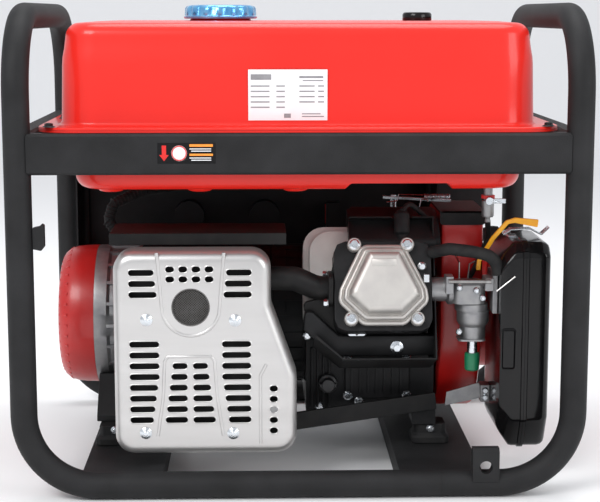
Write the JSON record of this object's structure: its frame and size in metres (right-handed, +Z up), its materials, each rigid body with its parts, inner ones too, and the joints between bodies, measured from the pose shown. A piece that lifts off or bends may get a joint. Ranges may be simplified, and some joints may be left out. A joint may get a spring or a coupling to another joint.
{
  "type": "portable generator",
  "caption": "Open-frame portable generator: tube frame, tank on top, inclined engine driving an alternator, shielded muffler, air cleaner and control panel.",
  "frame": {"origin": "on the floor under the middle of the tube frame", "axes": "+X along the frame towards the recoil starter, +Y from the exhaust side to the control panel, +Z up"},
  "size_m": [0.69, 0.5, 0.59],
  "materials": {
    "frame_black": "fine textured black powder coat on steel",
    "tank_red": "gloss red enamel on steel sheet",
    "housing_red": "red enamel on pressed steel",
    "cover_red": "satin red moulding",
    "engine_black": "satin black paint on aluminium castings",
    "sheet_black": "heat-proof black on steel sheet",
    "stator_black": "black lacquer on a laminated core",
    "cast_metal": "blasted die casting",
    "flywheel_iron": "as cast",
    "shield_steel": "satin stamped sheet",
    "steel": "ground and oiled",
    "bright_steel": "zinc plated",
    "chrome_cap": "chrome under a blue protective film",
    "rubber": "matt",
    "black_plastic": "gloss black moulding",
    "yellow_plastic": "yellow",
    "copper_core": "varnished windings on a steel core",
    "foam": "oiled open foam"
  },
  "bodies": {
    "root": {"frame_loop_left": "frame_black", "frame_loop_right": "frame_black", "tank_rail_front": "frame_black", "tank_rail_rear": "frame_black", "side_rail_left": "frame_black", "side_rail_right": "frame_black", "base_channel_left": "frame_black", "base_channel_right": "frame_black", "wheel_kit_lug": "frame_black", "rubber_mount_left_front": "rubber", "rubber_mount_left_rear": "rubber", "rubber_mount_right_front": "rubber", "rubber_mount_right_rear": "rubber", "alternator_cradle": "frame_black", "tank_shell": "tank_red", "tank_pan": "tank_red", "fuel_gauge": "bright_steel", "fuel_valve": "bright_steel", "engine_block": "engine_black", "cylinder_head": "engine_black", "valve_cover": "cast_metal", "head_shroud": "sheet_black", "piston": "cast_metal", "connecting_rod": "steel", "plug_cap": "rubber", "blower_housing": "housing_red", "recoil_cover": "housing_red", "alternator_end_cover": "cover_red", "alternator_end_bell": "cast_metal", "stator_core": "stator_black", "engine_adapter": "engine_black", "wiring_loom": "rubber", "muffler_body": "sheet_black", "heat_shield": "shield_steel", "exhaust_pipe": "sheet_black", "muffler_stay": "sheet_black", "heat_baffle": "sheet_black", "carburettor": "cast_metal", "float_bowl": "cast_metal", "fuel_solenoid": "bright_steel", "air_cleaner_base": "black_plastic", "air_filter_element": "foam", "breather_hose": "rubber", "panel_box": "black_plastic"},
    "crank": {"crankshaft": "steel", "rotor": "copper_core", "flywheel": "flywheel_iron"},
    "grip": {"starter_handle": "black_plastic"},
    "drum": {"recoil_pulley": "black_plastic"},
    "cap": {"fuel_cap": "chrome_cap"},
    "tap": {"fuel_valve_lever": "bright_steel"},
    "dipstick": {"oil_dipstick": "yellow_plastic"},
    "choke": {"choke_lever": "yellow_plastic"},
    "throttle": {"governor_arm": "bright_steel"},
    "clip": {"cover_clip": "bright_steel"},
    "air_cover": {"air_cleaner_cover": "black_plastic"},
    "lid_left": {"outlet_lid_left": "black_plastic"},
    "lid_right": {"outlet_lid_right": "black_plastic"},
    "switch": {"engine_switch": "cover_red"},
    "breaker": {"breaker_button": "black_plastic"}
  },
  "joints": [
    {"name": "crank_spin", "type": "hinge", "parent": "root", "child": "crank", "pos_m": [0.104, 0.02, 0.178], "axis": [1, 0, 0], "continuous": true},
    {"name": "starter_pull", "type": "slide", "parent": "root", "child": "grip", "axis": [0, 0.9397, 0.342], "range_m": [0, 0.5]},
    {"name": "drum_turn", "type": "hinge", "parent": "root", "child": "drum", "pos_m": [0.248, 0.02, 0.178], "axis": [-1, 0, 0], "range_deg": [0, 690]},
    {"name": "cap_lift", "type": "slide", "parent": "root", "child": "cap", "axis": [0, 0, 1], "range_m": [0, 0.08]},
    {"name": "tap_turn", "type": "hinge", "parent": "root", "child": "tap", "pos_m": [0.234, -0.1583, 0.35], "axis": [0, 1, 0], "range_deg": [0, 90]},
    {"name": "dipstick_turn", "type": "hinge", "parent": "root", "child": "dipstick", "pos_m": [0.04, -0.0803, 0.104], "axis": [0, -1, 0], "range_deg": [0, 720]},
    {"name": "choke_turn", "type": "hinge", "parent": "root", "child": "choke", "pos_m": [0.224, -0.147, 0.2563], "axis": [0, 0, -1], "range_deg": [0, 30]},
    {"name": "throttle_turn", "type": "hinge", "parent": "root", "child": "throttle", "pos_m": [0.13, 0, 0.335], "axis": [0, 0, 1], "range_deg": [-10, 12]},
    {"name": "clip_lift", "type": "hinge", "parent": "root", "child": "clip", "pos_m": [0.258, -0.128, 0.3045], "axis": [0, -1, 0], "range_deg": [0, 110]},
    {"name": "air_cover_slide", "type": "slide", "parent": "root", "child": "air_cover", "axis": [1, 0, 0], "range_m": [0, 0.06]},
    {"name": "lid_left_swing", "type": "hinge", "parent": "root", "child": "lid_left", "pos_m": [-0.15, 0.2288, 0.313], "axis": [1, 0, 0], "range_deg": [0, 100]},
    {"name": "lid_right_swing", "type": "hinge", "parent": "root", "child": "lid_right", "pos_m": [-0.04, 0.2288, 0.313], "axis": [1, 0, 0], "range_deg": [0, 100]},
    {"name": "switch_rock", "type": "hinge", "parent": "root", "child": "switch", "pos_m": [0.06, 0.226, 0.285], "axis": [1, 0, 0], "range_deg": [-8, 8]},
    {"name": "breaker_press", "type": "slide", "parent": "root", "child": "breaker", "axis": [0, -1, 0], "range_m": [0, 0.003], "stiffness_N_per_m": 400}
  ],
  "couplings": [
    {"joint": "drum_turn", "follows": "starter_pull", "rad_per_m": 23.809}
  ]
}
